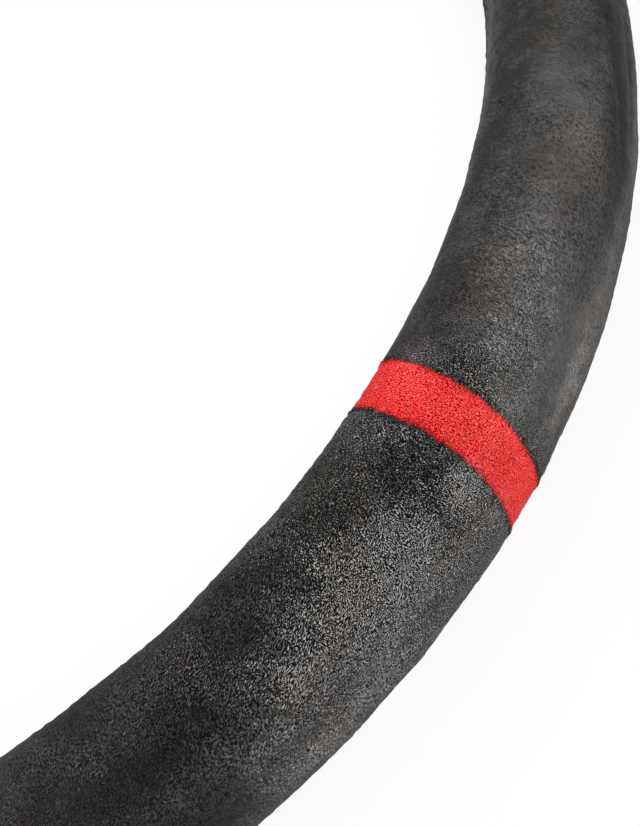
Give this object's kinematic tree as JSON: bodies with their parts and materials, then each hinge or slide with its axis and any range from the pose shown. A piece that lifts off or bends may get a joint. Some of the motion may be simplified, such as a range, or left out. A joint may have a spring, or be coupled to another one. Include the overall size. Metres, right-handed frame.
{
  "type": "steering wheel cover",
  "caption": "Stretch-on cover for a round car steering wheel: black suede sewn round a ribbed rubber ring that is open towards its centre, with a narrow red suede band at the top.",
  "frame": {"origin": "on the ring's axis, in the plane that the cover's back lies on", "axes": "+Z along the ring's axis towards the driver, +Y towards the red band at the top of the wheel, +X to the driver's right"},
  "size_m": [0.38, 0.38, 0.0415],
  "materials": {
    "black_suede": "napped suede, brushed, with thin foam bonded to its back",
    "red_suede": "napped suede, brushed",
    "rubber": "moulded, dull, with ribs across the channel",
    "thread": "twisted sewing thread"
  },
  "bodies": {
    "root": {"black_suede": "black_suede", "red_band": "red_suede", "rubber_ring": "rubber", "front_lip_top_thread": "thread", "front_lip_bobbin_thread": "thread", "rear_lip_top_thread": "thread", "rear_lip_bobbin_thread": "thread", "left_seam_thread": "thread", "right_seam_thread": "thread"}
  },
  "joints": []
}
